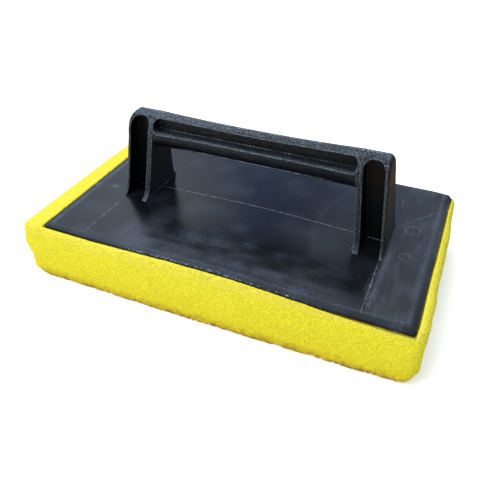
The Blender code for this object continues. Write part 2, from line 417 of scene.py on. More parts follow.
# %% Grip
FINGER_HEIGHT = 36.0
GRIP_DEPTH, GRIP_HEIGHT = 9.4, 23.2
LOWER_BAR, CROWN_WALL, SLOT_END = 12.9, 2.2, 70.0
SLOT_RADIUS, FILLET = 3.7, 2.2


def grip_top(x):
    """The grip's top is a shallow saddle: it rises towards the legs by the square of the way out."""
    return FINGER_HEIGHT + GRIP_HEIGHT + (LEG_TOP - FINGER_HEIGHT - GRIP_HEIGHT) * (x / SLOT_END) ** 2


def grip_distance(x, y, z):
    """An oval bar, ended inside the legs. Its depth grows towards them by the fourth power of the
    way out."""
    share = np.clip(x / SLOT_END, -1, 1)
    top = grip_top(share * SLOT_END)
    middle, half_height = (top + FINGER_HEIGHT) / 2, (top - FINGER_HEIGHT) / 2
    depth = GRIP_DEPTH + 1.5 * share ** 4
    bar = oval_distance(y, z - middle, depth, half_height)
    return np.maximum(bar, np.abs(x) - INNER_FOOT + INNER_LEAN * FINGER_HEIGHT - 0.4)


def slot_distance(x, y, z):
    """The slot from the front, a bar with round ends, kept to each side of the web."""
    ceiling = grip_top(np.clip(x, -SLOT_END, SLOT_END)) - CROWN_WALL
    floor = FINGER_HEIGHT + LOWER_BAR
    upright = np.abs(z - (ceiling + floor) / 2) - (ceiling - floor) / 2
    outline = trim(np.abs(x) - SLOT_END, upright, SLOT_RADIUS)
    return trim(outline, WEB / 2 - np.abs(y), 0.8)


def handle_distance(x, y, z):
    """Legs and grip joined, with a fillet that dies out towards the crown, where the two already
    agree. Then the slots are cut, and the foot is ended inside the plate."""
    fillet = FILLET * smooth_step(LEG_TOP - 4, LEG_TOP - 15, z) + 0.05
    whole = join(leg_distance(x, y, z), grip_distance(x, y, z), fillet)
    return np.maximum(cut(whole, slot_distance(x, y, z), 0.5), -1.0 - z)


# %% [markdown]
# To draw such a surface, space is filled with small cells. Each cell that the surface crosses
# gets one point, at the mean of the places where the surface crosses the cell's edges, and each
# lattice line that the surface crosses gets a face between the four cells round it. A few steps
# down the distance then put every point exactly on the surface.

# %% Surface of a distance


def surface_net(lines, distance):
    """The closed surface where the distance is nought, as points and four-cornered faces."""
    field = distance(*np.meshgrid(*lines, indexing="ij", sparse=True))
    inside = field < 0
    cells = tuple(size - 1 for size in field.shape)
    window = [tuple(slice(c, c + n) for c, n in zip(corner, cells)) for corner in np.ndindex(2, 2, 2)]
    count = sum(inside[part].astype(np.int8) for part in window)
    mixed = (count > 0) & (count < 8)
    spots = np.argwhere(mixed)
    number = np.full(cells, -1)
    number[mixed] = np.arange(len(spots))
    total, crossings = np.zeros((len(spots), 3)), np.zeros(len(spots))
    for axis in range(3):
        for corner in np.ndindex(2, 2, 2):
            if corner[axis]:
                continue
            start = spots + corner
            end = start + np.eye(3, dtype=int)[axis]
            first, second = field[tuple(start.T)], field[tuple(end.T)]
            hit = (first < 0) != (second < 0)
            share = np.where(hit, first / np.where(hit, first - second, 1), 0)
            place = np.column_stack([lines[a][start[:, a]] for a in range(3)])
            place[:, axis] += share * (lines[axis][end[:, axis]] - lines[axis][start[:, axis]])
            total[hit] += place[hit]
            crossings[hit] += 1
    points = total / crossings[:, None]
    return step_to_surface(points, distance), net_faces(inside, number)


def net_faces(inside, number):
    """A face between the four cells round each lattice edge that leaves or enters the shape."""
    faces = []
    for axis in range(3):
        side, up = [a for a in range(3) if a != axis]
        low = np.moveaxis(inside, (axis, side, up), (0, 1, 2))
        cell = np.moveaxis(number, (axis, side, up), (0, 1, 2))
        leaving = low[:-1, 1:-1, 1:-1] & ~low[1:, 1:-1, 1:-1]
        entering = ~low[:-1, 1:-1, 1:-1] & low[1:, 1:-1, 1:-1]
        ring = np.stack((cell[:, :-1, :-1], cell[:, 1:, :-1], cell[:, 1:, 1:], cell[:, :-1, 1:]), axis=-1)
        flip = axis == 1
        faces.append(ring[leaving][:, ::-1] if flip else ring[leaving])
        faces.append(ring[entering] if flip else ring[entering][:, ::-1])
    return np.concatenate(faces)


def step_to_surface(points, distance, steps=3, probe=0.02):
    """Move each point against the distance's slope by the distance itself, a few times over."""
    for _ in range(steps):
        here = distance(*points.T)
        slope = np.column_stack([(distance(*(points + probe * axis).T) - here) / probe for axis in np.eye(3)])
        steep = np.maximum((slope ** 2).sum(axis=1), 0.25)
        points = points - np.clip(here / steep, -0.25, 0.25)[:, None] * slope
    return points


# %% [markdown]
# The grain of the handle, its painted sheen and its painted edge highlights follow its shape, so they are
# worked out with it. Faces that look out of the mould keep its pebbled grain, while those along the mould's
# travel come out smooth. Sharp edges are painted pale as highlights, and an edge is where the distance curves
# most.

# %% Handle
LEG_SPACING, GRIP_SPACING = 0.55, 1.7


def handle_marks(points, probe=0.5):
    """Two values from 0 to 1 for each point: its grain with a painted sheen, from the way it faces, and
    a painted edge highlight, from the sum of the distance's second differences, which is the surface's
    curvature."""
    here = handle_distance(*points.T)
    ahead = np.array([handle_distance(*(points + probe * axis).T) for axis in np.eye(3)])
    behind = np.array([handle_distance(*(points - probe * axis).T) for axis in np.eye(3)])
    facing = (ahead - behind) / np.maximum(np.linalg.norm(ahead - behind, axis=0), 1e-9)
    curvature = (ahead + behind - 2 * here).sum(axis=0) / probe ** 2
    along, height = np.abs(points[:, 0]), points[:, 2]
    on_bar = smooth_step(SLOT_END, SLOT_END - 6, along) * smooth_step(LEG_TOP - 8, LEG_TOP - 11, height)
    # Faces that look forward or back keep the grain. Their pale tips are partly painted sheen, fewer on the
    # bar and towards the right.
    front = smooth_step(0.3, 0.8, np.abs(facing[1])) * smooth_step(-0.5, 0, facing[2])
    front *= (0.62 - 0.26 * on_bar) * (1 - 0.45 * smooth_step(-40, 70, points[:, 0]))
    proud = smooth_step(6.3, 7.8, np.abs(points[:, 1])) + smooth_step(LEG_TOP - 3, LEG_TOP - 1, height)
    # Inside the slot the web gets some pale tips too: painted light in that recess.
    proud = np.clip(proud + 0.35 * (along < SLOT_END) * (height > FINGER_HEIGHT), 0, 1)
    # Faces that look up get the most pale tips: a painted sheen of the light from above, weaker towards the
    # right.
    upward = smooth_step(0.1, 0.8, facing[2]) * (0.85 - 0.25 * smooth_step(-40, 60, points[:, 0]))
    # The second value, from curvature, is a painted highlight along sharp edges.
    return np.maximum(front, upward) * proud, smooth_step(0.5, 1.2, curvature)


def make_handle():
    """The handle, with close cells round the legs and long ones along the even grip."""
    leg = even_lines(SLOT_END - 7, OUTER_FOOT + 2.5, LEG_SPACING)
    grip = even_lines(-SLOT_END + 7, SLOT_END - 7, GRIP_SPACING)
    x_lines = np.concatenate((-leg[::-1], grip[1:-1], leg))
    y_lines = even_lines(-FOOT_DEPTH - 6, FOOT_DEPTH + 6, LEG_SPACING)
    z_lines = even_lines(-1.5, LEG_TOP + 1, LEG_SPACING)
    points, faces = surface_net((x_lines, y_lines, z_lines), handle_distance)
    grain_and_sheen, wear_and_edge_glint = handle_marks(points)
    points += (CENTRE_X + HANDLE_SHIFT, CENTRE_Y, PLATE_TOP)
    return make_piece("moulded_handle", points, faces, [("grain_and_sheen", grain_and_sheen), ("wear_and_edge_glint", wear_and_edge_glint)])


handle = make_handle()

# %% [markdown]
# ## Flash
#
# Where two halves of a mould meet, a little plastic creeps between them and leaves a thread that
# catches the light. It runs along the crown of the grip, along the middle of the plate, and across
# the plate where the side slides ended; another pale thread runs low on the grip's front. Each thread is a
# small round profile carried along its path, with noise for its thickness, so that it comes and goes. The
# pale threads in the slots' lower creases, along the bases of the legs' inner faces and along the plate's
# front edge are painted highlights.

# %% Threads of flash
CUTTER_BEAT = 2.7
THREAD_TIP = 0.004


def carry_profile(path, radius, sides=6):
    """A closed tube: a ring of points round each path point, in the two directions across it, and a
    fan of four-cornered faces over each end."""
    along = np.gradient(path, axis=0)
    along /= np.linalg.norm(along, axis=1)[:, None]
    up = np.where(np.abs(along[:, 2:3]) > 0.9, (1.0, 0, 0), (0, 0, 1.0))
    side = np.cross(up, along)
    side /= np.linalg.norm(side, axis=1)[:, None]
    up = np.cross(along, side)
    angle = np.linspace(0, math.tau, sides, endpoint=False)
    ring = np.cos(angle)[None, :, None] * side[:, None] + np.sin(angle)[None, :, None] * up[:, None]
    points = (path[:, None] + ring * radius[:, None, None]).reshape(-1, 3)
    number = np.arange(len(points)).reshape(len(path), sides)
    around = np.roll(number, -1, axis=1)
    walls = np.stack((number[:-1], around[:-1], around[1:], number[1:]), axis=-1).reshape(-1, 4)
    fan = np.array([(0, k, k + 1, k + 2) for k in range(1, sides - 1, 2)])
    return points, np.concatenate((walls, number[0][fan[:, ::-1]], number[-1][fan]))


def thread(start, end, thickness, seed, spacing=0.6, dash=1.5, beat=0.0):
    """One thread between two points on the plate. Its thickness is noise that changes over one
    dash, or a sine where the mould's cutter left an even beat, and its ends taper to nothing."""
    start, end = np.array(start, float), np.array(end, float)
    count = max(5, round(np.linalg.norm(end - start) / spacing))
    share = np.linspace(0, 1, count)[:, None]
    path = start + (end - start) * share
    swell = 0.62 + 0.7 * noise(path + seed * 7.7, dash, seed)
    if beat:
        swell = 0.3 + 0.3 * swell + 0.6 * np.sin(np.hypot(*(path - start)[:, :2].T) * math.tau / beat)
    taper = np.minimum(1, np.minimum(share, 1 - share)[:, 0] * count / 3) + 0.02
    inset = np.minimum(HALF_LENGTH - np.abs(path[:, 0]), HALF_WIDTH - np.abs(path[:, 1]))
    path[:, 2] += plate_surface(path[:, 0], path[:, 1], inset)
    return path, thickness * np.clip(swell, 0.12, 1.2) * taper


def drag_marks(count, seed):
    """Scratches where the right slide dragged as it drew back: each starts at a random place near
    the slide's line and runs forward at a slight random slant."""
    random = np.random.default_rng(seed)
    start_y = random.uniform(-62, -27, count)
    start_x = SLIDE_LINE - 0.6 - 0.02 * (start_y + 27) + random.normal(0, 1.3, count)
    length = random.uniform(4, 13, count)
    slant = random.normal(0.02, 0.07, count)
    size = random.uniform(0.022, 0.045, count)
    return [thread((x, y, 0.02), (x + bit * math.sin(lean), y - bit * math.cos(lean), 0.02), radius, index)
            for index, (x, y, bit, lean, radius) in enumerate(zip(start_x, start_y, length, slant, size))]


def grip_threads():
    """Threads along the grip: on its crown, low on its front, and painted highlights in the slots' lower
    corners.
    """
    span = np.linspace(-SLOT_END - 10, SLOT_END + 15, 420)
    level = 0 * span
    beat = 0.5 + 0.5 * np.sin(span * math.tau / CUTTER_BEAT)
    crown = np.column_stack((span, level, grip_top(np.clip(span, -SLOT_END, SLOT_END)) + 0.12))
    patches = np.clip(0.55 + 0.8 * noise(crown, 9.0, 1), 0.1, 1) * (0.5 + 0.5 * smooth_step(-60, 10, span))
    runs = [(crown, 0.52 * beat * patches + 0.02)]
    belly = np.column_stack((span, level - 6.7, level + FINGER_HEIGHT + 3.4))[26:-36]
    runs.append((belly, 0.26 * np.clip(0.75 + 0.5 * noise(belly, 2.7, 2), 0.1, 1.2)))
    # The crease threads are painted highlights where the web meets the ledge below the slot.
    for facing in (-1, 1):
        crease = np.column_stack((span, level + facing * (WEB / 2 + 0.1),
                                  level + FINGER_HEIGHT + LOWER_BAR + 0.3))
        within = np.abs(span) < SLOT_END - 5
        uneven = np.clip(0.6 + 0.8 * noise(crease, 8.0, 9 + facing), 0.15, 1)
        runs.append((crease[within], (0.28 * beat * uneven + 0.02)[within]))
    return [(path + (HANDLE_SHIFT, 0, 0), radius) for path, radius in runs]


def plate_threads():
    """Threads on the plate: along its middle, a burr and a painted highlight along its front edge, across it
    at the slides, round the legs' feet, where the lines along the inner faces' bases are painted highlights,
    one scratch at the right, and round two of the pins' marks."""
    burr, trimmed = 0.2 - HALF_WIDTH, 1.2 - HALF_WIDTH
    runs = [thread((-INNER_FOOT - 1, 0.6, 0), (INNER_FOOT - 1, -0.6, 0), 0.24, 3, beat=CUTTER_BEAT),
            thread((-58, burr, -0.1), (57, burr, -0.1), 0.20, 12, dash=1.1),
            # The second front-edge line is a painted highlight along the edge.
            thread((-52, trimmed, -0.05), (24, trimmed, -0.05), 0.11, 15, dash=0.8)]
    for side, web in ((-1, 0.16), (1, 0.26)):
        foot, slide = side * INNER_FOOT + HANDLE_SHIFT, side * SLIDE_LINE
        across = (foot + side * 4, -1.8, 0.1), (foot + side * 17, -1.8, 0.1)
        runs += [thread(*across, web, 4, beat=CUTTER_BEAT),
                 # The line along each inner face's base is a painted highlight on the crease.
                 thread((foot, -21, 0.1), (foot, 22, 0.1), 0.20, 8, beat=CUTTER_BEAT),
                 thread((slide, 70, -0.05), (slide, 24, -0.05), 0.08, 7, dash=6.0)]
    for x, thickness in ((-0.6 - SLIDE_LINE, 0.13), (0.5 - SLIDE_LINE, 0.09)):
        runs.append(thread((x, -22, -0.03), (x - 1, -71, 0.03), thickness, 5, dash=5.0))
    runs.append(thread((SLIDE_LINE - 1.2, -24, 0), (SLIDE_LINE - 0.6, -73, 0.02), 0.12, 13, dash=3.5))
    runs.append(thread((98, 19, 0), (119, 46, 0), 0.09, 6))
    for mark_x, mark_y, radius in PIN_MARKS[:2]:
        turn = np.linspace(0, math.tau, 72)
        ring = np.column_stack((mark_x + radius * np.cos(turn), mark_y + radius * np.sin(turn), 0 * turn))
        ring[:, 2] = plate_surface(ring[:, 0], ring[:, 1], np.full(72, 18.0))
        runs.append((ring, 0.07 * np.clip(0.75 + 0.4 * noise(ring, 4.0, 14), 0.05, 1)))
    return runs + drag_marks(44, 7)


def build_flash_and_glints():
    """All the threads as one piece of small closed tubes, their ends drawn down almost to a point."""
    points, faces, start = [], [], 0
    for path, radius in grip_threads() + plate_threads():
        radius = radius.copy()
        radius[[0, -1]] = THREAD_TIP
        tube_points, tube_faces = carry_profile(path, radius)
        points.append(tube_points)
        faces.append(tube_faces + start)
        start += len(tube_points)
    points = np.concatenate(points) + (CENTRE_X, CENTRE_Y, PLATE_TOP)
    return make_piece("flash_and_glint_threads", points, np.concatenate(faces))


flash = build_flash_and_glints()

# %% [markdown]
# ## Foam
#
# The block is sawn from a sheet of open-cell polyurethane, so its skin is full of cells that the
# saw cut open. A bump texture could draw them, but the outline would stay smooth. Here the cells
# are real pits about a millimetre wide: scattered centres, with each point of the skin pushed in
# by how near it lies to the nearest one.

# %% Cells


def nearest_centre(points, size, seed):
    """Distance from each point to the nearest scattered centre, in cell sizes: every lattice cell
    holds one centre at a random place, and the 27 cells round a point are tried."""
    place = points / size
    base = np.floor(place)
    nearest = np.full(len(points), 9.0)
    for corner in np.ndindex(3, 3, 3):
        cell = base + corner - 1
        centre = cell + np.column_stack([scramble(cell, seed + step) for step in range(3)])
        nearest = np.minimum(nearest, np.linalg.norm(place - centre, axis=1))
    return nearest


# %% [markdown]
# The block's outline is a rounded box, but the saw has left no face quite flat. A cube with a Bevel
# modifier would be too regular, so the lattice skin is used again. Its edges are rounded first,
# and then each face is bent by a sum of smooth steps: one step for each fault in the real block.

# %% Foam block
FOAM_CORNER = 6.0
TOP_EDGE, FOOT_EDGE = 4.5, 0.8
LEFT_END, RIGHT_END = -139.2, 135.8
FRONT_FACE, BACK_FACE = -78.2, 77.0
TORN_SIZE, TORN_DEPTH = 1.9, 1.3
PIT_SIZE, PIT_DEPTH = 1.05, 0.30
# How far the foam stands up round the plate's edge, and how low its skin may reach.
LIP, FOOT_GAP = 3.7, 0.02
# The skin's points are this far apart, but wider apart in the middle of the top, under the plate.
FOAM_SPACING, MIDDLE_SPACING = 0.6, 1.0
EVEN_MARGIN = 22.0
FOAM_THICKNESS = foam_high[2] - foam_low[2]
FOAM_HALF_LENGTH = (foam_high[0] - foam_low[0]) / 2
FOAM_HALF_WIDTH = (foam_high[1] - foam_low[1]) / 2


def soften_edges(points):
    """Round the block's top and bottom edges: near an edge, a point's way in from the side and its
    way in from the face are the sides of a small square, which is turned into a quarter circle.
    The new heights are returned, and how much further in from the side each point goes."""
    inset = np.minimum(FOAM_HALF_LENGTH - np.abs(points[:, 0]), FOAM_HALF_WIDTH - np.abs(points[:, 1]))
    low_half = points[:, 2] < FOAM_THICKNESS / 2
    radius = np.where(low_half, FOOT_EDGE, TOP_EDGE)
    depth = np.where(low_half, points[:, 2], FOAM_THICKNESS - points[:, 2])
    a, b = np.maximum(radius - inset, 0), np.maximum(radius - depth, 0)
    share = np.maximum(a, b) / np.maximum(np.hypot(a, b), 1e-9)
    new_inset = np.where(a > 0, radius - a * share, inset)
    new_depth = np.where(b > 0, radius - b * share, depth)
    moved = points.copy()
    moved[:, 2] = np.where(low_half, new_depth, FOAM_THICKNESS - new_depth)
    return moved, new_inset - inset


def beyond_plate(x, y):
    """How far a place on the foam lies past the plate's edge."""
    to_left = CENTRE_X - x - HALF_LENGTH - left_skew(y - CENTRE_Y)
    to_side = np.maximum(x - CENTRE_X - HALF_LENGTH, to_left)
    return np.maximum(to_side, np.abs(y - CENTRE_Y) - HALF_WIDTH)


def shape_block(points):
    """The saw's work. Each point keeps its share of the way from left to right, from front to back
    and from bottom to top, and the faces are bent: the left end bulges and is notched, the front
    runs a little askew, the back corners are cut off, the foot is torn and lifts at both ends, and
    the top bows with the plate and stands up round it. Slow waves are then added."""
    u = (points[:, 0] / FOAM_HALF_LENGTH + 1) / 2
    v = (points[:, 1] / FOAM_HALF_WIDTH + 1) / 2
    w = points[:, 2] / FOAM_THICKNESS
    across, along, up = points[:, 1] - CENTRE_Y, points[:, 0], points[:, 2]
    notch = 1.5 * np.exp(-((up - 8.0) / 2.2) ** 2) - smooth_step(7, 3, up)
    left = LEFT_END + 13.0 * smooth_step(30, 95, across) ** 1.5 + notch * smooth_step(30, -60, across)
    left += 0.8 * smooth_step(32, 41, up) - 3.2 * np.exp(-((up - 20.0) / 9.0) ** 2)
    right = RIGHT_END - 1.2 * smooth_step(-60, 20, across) - 1.2 * smooth_step(20, 60, across)
    right += 0.6 * smooth_step(20, 5, up) * smooth_step(-20, -70, across)
    right -= 2.6 * smooth_step(62, 78, across) ** 2
    front = FRONT_FACE + 3.2 * smooth_step(-60, 135, along)
    front += (1 - w) * (1.2 + 0.4 * smooth_step(0, 135, along))
    x = left + (right - left) * u
    y = front + (BACK_FACE - front) * v
    flat = np.column_stack((x, y, 0 * x))
    bottom = TORN_DEPTH * np.maximum(noise(flat, TORN_SIZE, 41), 0)
    bottom += np.maximum(noise(flat, 6.0, 42) - 0.2, 0) + 0.5 * smooth_step(90, 130, x)
    from_left, from_right = np.maximum(x + 139.0, 0), np.maximum(135.0 - x, 0)
    bottom += 8.5 * np.maximum(1 - from_left / 18, 0) ** 2 * smooth_step(90, -40, y)
    bottom += 8.0 * np.maximum(1 - from_right / 10, 0) ** 2 * smooth_step(20, -70, y)
    top = FOAM_THICKNESS + bow(x - CENTRE_X) + LIP * smooth_step(-0.1, 0.9, beyond_plate(x, y))
    shaped = np.column_stack((x, y, bottom + (top - bottom) * w))
    wave = 0.5 * noise(shaped, 27.0, 11) + 0.3 * noise(shaped, 8.0, 12)
    outward = np.column_stack((2 * u - 1, 2 * v - 1, 0 * u)) ** 9
    return shaped + outward * wave[:, None]


def outward_normals(points, faces):
    """Each point's mean face direction, from the cross of the face's diagonals."""
    corner = points[faces]
    face_normal = np.cross(corner[:, 2] - corner[:, 0], corner[:, 3] - corner[:, 1])
    total = np.column_stack([np.bincount(faces.ravel(), np.repeat(face_normal[:, axis], 4), len(points))
                             for axis in range(3)])
    return total / np.maximum(np.linalg.norm(total, axis=1), 1e-12)[:, None]


def make_foam():
    """The block's skin, softened, shaped, and pitted by its cells, flat where it rests."""
    x_lines = even_lines(-FOAM_HALF_LENGTH, FOAM_HALF_LENGTH, FOAM_SPACING)
    margin = even_lines(FOAM_HALF_WIDTH - EVEN_MARGIN, FOAM_HALF_WIDTH, FOAM_SPACING)
    middle = even_lines(-margin[0], margin[0], MIDDLE_SPACING)
    y_lines = np.concatenate((-margin[::-1], middle[1:-1], margin))
    points, faces = block_skin(x_lines, y_lines, even_lines(0, FOAM_THICKNESS, FOAM_SPACING))
    points, inset_change = soften_edges(points)
    centre = nearest_inside(points, FOAM_HALF_LENGTH, FOAM_HALF_WIDTH, FOAM_CORNER)
    points = round_plan(points, FOAM_HALF_LENGTH, FOAM_HALF_WIDTH, FOAM_CORNER)
    arm = points[:, :2] - centre
    points[:, :2] -= arm * (inset_change / np.maximum(np.hypot(*arm.T), 1e-9))[:, None]
    points = shape_block(points)
    normals = outward_normals(points, faces)
    share_up = np.clip(points[:, 2] / FOAM_THICKNESS, 0, 1)
    cell = nearest_centre(points, PIT_SIZE, 21)
    pits = PIT_DEPTH * smooth_step(0.60, 0.15, cell) + 0.10 * noise(points, 0.9, 31)
    under_plate = (normals[:, 2] > 0.7) * smooth_step(0.5, 0, beyond_plate(points[:, 0], points[:, 1]))
    points -= normals * (pits * (1 - under_plate))[:, None]
    points[:, 2] = np.maximum(points[:, 2], FOOT_GAP)
    points += ((foam_low[0] + foam_high[0]) / 2, (foam_low[1] + foam_high[1]) / 2, foam_low[2])
    return make_piece("sawn_foam_block", points, faces, [("share_up", share_up)])


foam = make_foam()

# %% [markdown]
# ## Colours and shader nodes
#
# Colours are picked as sRGB hex, as a screen shows them, and shaders want linear light, so one
# function turns the one into the other. A second one adds any node with its settings and links.

# %% Shader helpers


def linear(hex_colour):
    """The linear red, green and blue of an sRGB hex colour: the curve of the sRGB standard, undone."""
    values = [int(hex_colour[i:i + 2], 16) / 255 for i in (1, 3, 5)]
    return tuple(v / 12.92 if v <= 0.04045 else ((v + 0.055) / 1.055) ** 2.4 for v in values) + (1.0,)


def add(tree, kind, settings=None, inputs=None, stops=()):
    """Add a node. Settings are its own values. Inputs are values, or other nodes' sockets to link.
    Stops are a colour ramp's (place, hex colour) pairs."""
    node = tree.nodes.new(kind)
    for name, value in (settings or {}).items():
        setattr(node, name, value)
    for name, value in (inputs or {}).items():
        if isinstance(value, bpy.types.NodeSocket):
            tree.links.new(value, node.inputs[name])
        else:
            node.inputs[name].default_value = value
    for place, colour in stops[2:]:
        node.color_ramp.elements.new(place)
    for index, (place, colour) in enumerate(stops):
        node.color_ramp.elements[index].position = place
        node.color_ramp.elements[index].color = linear(colour)
    return node


def dress(piece, name, recipe):
    """Give a piece its one material, named for what it is made of. The recipe adds the nodes that
    its look needs to the tree, and returns the values and sockets that go into the shader."""
    material = bpy.data.materials.new(name)
    material.use_nodes = True
    tree = material.node_tree
    tree.nodes.clear()
    shader = add(tree, "ShaderNodeBsdfPrincipled", inputs=recipe(tree))
    add(tree, "ShaderNodeOutputMaterial", inputs={"Surface": shader.outputs["BSDF"]})
    piece.data.materials.clear()
    piece.data.materials.append(material)
    print(piece.name, "is", name)


# %% [markdown]
# ## Black moulded polyethylene
#
# Black polyethylene scatters almost no light back, so what the eye sees is gloss: a satin sheen of
# the room. The plate left a smooth mould, and has been rubbed and dusted since. One value stored
# on its points says how scuffed each place is, and the material turns that into paleness.

# %% Plate material
PLASTIC = "#0a0c0f"
PLASTIC_RUBBED = "#414853"
DUST = "#76828e"
POLYETHYLENE_IOR = 1.54
# Real sizes in millimetres: worn patches, the gaps between dust specks, smears, and the mould's skin.
WEAR_SIZE, DUST_GAP, SMEAR_SIZE, SKIN_SIZE = 1.43, 3.85, 26.3, 0.625
SKIN_DEPTH = 0.03


def satin_plate(tree):
    """Satin black polyethylene: smooth, with worn scuffs, fine dust and soft smears."""
    place = add(tree, "ShaderNodeTexCoord").outputs["Object"]
    scuffed = add(tree, "ShaderNodeAttribute", {"attribute_name": "scuffed"})
    fine = add(tree, "ShaderNodeTexNoise", inputs={
        "Vector": place, "Scale": 1 / (WEAR_SIZE * MM), "Detail": 3.0})
    broken = add(tree, "ShaderNodeMapRange", inputs={
        "Value": fine.outputs["Fac"], "From Min": 0.3, "From Max": 0.7, "To Min": 0.55, "To Max": 1.35})
    wear_and_edge_glint = add(tree, "ShaderNodeMath", {"operation": "MULTIPLY"},
                 {0: scuffed.outputs["Fac"], 1: broken.outputs["Result"]})
    worn = add(tree, "ShaderNodeMix", {"data_type": "RGBA"}, {
        "Factor": wear_and_edge_glint.outputs["Value"], "A": linear(PLASTIC), "B": linear(PLASTIC_RUBBED)})
    grit = add(tree, "ShaderNodeTexVoronoi", inputs={"Vector": place, "Scale": 1 / (DUST_GAP * MM)})
    specks = add(tree, "ShaderNodeMapRange", {"interpolation_type": "SMOOTHSTEP"}, {
        "Value": grit.outputs["Distance"], "From Min": 0.06, "From Max": 0.02})
    dusty = add(tree, "ShaderNodeMix", {"data_type": "RGBA"}, {
        "Factor": specks.outputs["Result"], "A": worn.outputs["Result"], "B": linear(DUST)})
    smears = add(tree, "ShaderNodeTexNoise", inputs={
        "Vector": place, "Scale": 1 / (SMEAR_SIZE * MM), "Detail": 5.0, "Roughness": 0.6})
    roughness = add(tree, "ShaderNodeMapRange", inputs={
        "Value": smears.outputs["Fac"], "From Min": 0.3, "From Max": 0.7, "To Min": 0.20, "To Max": 0.30})
    skin = add(tree, "ShaderNodeTexNoise", inputs={
        "Vector": place, "Scale": 1 / (SKIN_SIZE * MM), "Detail": 2.0})
    bump = add(tree, "ShaderNodeBump", inputs={"Height": skin.outputs["Fac"], "Distance": SKIN_DEPTH * MM})
    return {"Base Color": dusty.outputs["Result"], "Roughness": roughness.outputs["Result"],
            "Normal": bump.outputs["Normal"], "IOR": POLYETHYLENE_IOR}


dress(plate, "satin_moulded_polyethylene", satin_plate)

# %% [markdown]
# The handle left a spark-eroded mould, whose pebbled grain breaks the sheen into sparkles. The
# real grain is about half a millimetre; it is drawn nearly twice as coarse so that it still shows
# from arm's length. Its tips are painted pale as the sparkle of that sheen, and the sharp edges are painted
# pale as highlights.

# %% Handle material
GRAIN_SIZE = 0.85
GRAIN_DEPTH = 0.35
# The pale grain-tip colour is a painted sheen, and the pale edge colour below is a painted highlight.
PALE_TIP_SHEEN = "#69757f"
HANDLE_ROUGHNESS = 0.36
EDGE_HIGHLIGHT_GREY = "#6d7883"


def grained_handle(tree):
    """Black polyethylene with a grain: noise gives its pebbles, and the two stored values say where
    its grain and painted sheen lie and where its edges get a painted highlight. Grain tips and edges mix
    towards a paler grey: painted sheen and painted highlight."""
    place = add(tree, "ShaderNodeTexCoord").outputs["Object"]
    grain_and_sheen = add(tree, "ShaderNodeAttribute", {"attribute_name": "grain_and_sheen"})
    wear_and_edge_glint = add(tree, "ShaderNodeAttribute", {"attribute_name": "wear_and_edge_glint"})
    pebbles = add(tree, "ShaderNodeTexNoise", inputs={
        "Vector": place, "Scale": 1 / (GRAIN_SIZE * MM), "Detail": 1.0})
    tips = add(tree, "ShaderNodeMapRange", {"interpolation_type": "SMOOTHSTEP"}, {
        "Value": pebbles.outputs["Fac"], "From Min": 0.40, "From Max": 0.68})
    pale_tips = add(tree, "ShaderNodeMath", {"operation": "MULTIPLY"},
                    {0: grain_and_sheen.outputs["Fac"], 1: tips.outputs["Result"]})
    speckled = add(tree, "ShaderNodeMix", {"data_type": "RGBA"}, {
        "Factor": pale_tips.outputs["Value"], "A": linear(PLASTIC), "B": linear(PALE_TIP_SHEEN)})
    broken = add(tree, "ShaderNodeMapRange", inputs={
        "Value": tips.outputs["Result"], "To Min": 0.2, "To Max": 0.75})
    pale_edges = add(tree, "ShaderNodeMath", {"operation": "MULTIPLY"},
                     {0: wear_and_edge_glint.outputs["Fac"], 1: broken.outputs["Result"]})
    # Sharp edges are mixed towards pale grey: a painted highlight.
    colour = add(tree, "ShaderNodeMix", {"data_type": "RGBA"}, {
        "Factor": pale_edges.outputs["Value"], "A": speckled.outputs["Result"], "B": linear(EDGE_HIGHLIGHT_GREY)})
    strength = add(tree, "ShaderNodeMath", {"operation": "MULTIPLY"}, {0: grain_and_sheen.outputs["Fac"], 1: 0.9})
    bump = add(tree, "ShaderNodeBump", inputs={
        "Height": pebbles.outputs["Fac"], "Strength": strength.outputs["Value"],
        "Distance": GRAIN_DEPTH * MM})
    return {"Base Color": colour.outputs["Result"], "Roughness": HANDLE_ROUGHNESS,
            "Normal": bump.outputs["Normal"], "IOR": POLYETHYLENE_IOR}


dress(handle, "spark_grained_moulded_polyethylene", grained_handle)

# %% [markdown]
# Where plastic is drawn out into a thread, it fills with tiny cracks that scatter light, and so it
# turns pale and matt. The flash is that plastic, and the same pale colour also paints glints on creases and
# edges as painted highlights.

# %% Flash material
WHITENING_SIZE = 2.38


def pale_flash_and_glints(tree):
    """Torn polyethylene thread, whitened by stretching, more in some places than in others; on the glint
    threads the pale colour is a painted highlight.
    """
    place = add(tree, "ShaderNodeTexCoord").outputs["Object"]
    patches = add(tree, "ShaderNodeTexNoise", inputs={
        "Vector": place, "Scale": 1 / (WHITENING_SIZE * MM), "Detail": 2.0})
    whitened = add(tree, "ShaderNodeValToRGB", inputs={"Fac": patches.outputs["Fac"]},
                   stops=((0.32, "#5a646e"), (0.62, "#a9b4c0")))
    return {"Base Color": whitened.outputs["Color"], "Roughness": 0.5, "IOR": POLYETHYLENE_IOR}


dress(flash, "pale_polyethylene_flash_and_painted_glints", pale_flash_and_glints)

# %% [markdown]
# ## Yellow open-cell foam
#
# Sawn foam is matt and fuzzy: light gets in among the cell walls and comes out again, so shadows
# in the pits stay warm and yellow. Its real cells are about half a millimetre; they are drawn
# over half as coarse again, so that they show. The height of each point, as a share of the
# block's, gives the paler top, which is painted light, and the dark ochre foot, which is painted shade.

# %% Foam material
CELL_SIZE, CELL_DEPTH, HEIGHT_SHADE_PATCH_SIZE = 0.8, 0.35, 3.85
# How fully the pits' painted shade is laid over the colours by height.
CELL_SHADE = 0.72
# Each shade of the foam: how high up the block it lies, as a share, and its colour.
# The dark ochre at the foot is painted shade and the paler top is painted light; the yellow between them is
# the foam's own colour.
FOAM_SHADES = ((0.0, "#a08028"), (0.08, "#cdb62d"), (0.2, "#e5d82f"), (0.9, "#ebe036"), (1.0, "#ece04c"))


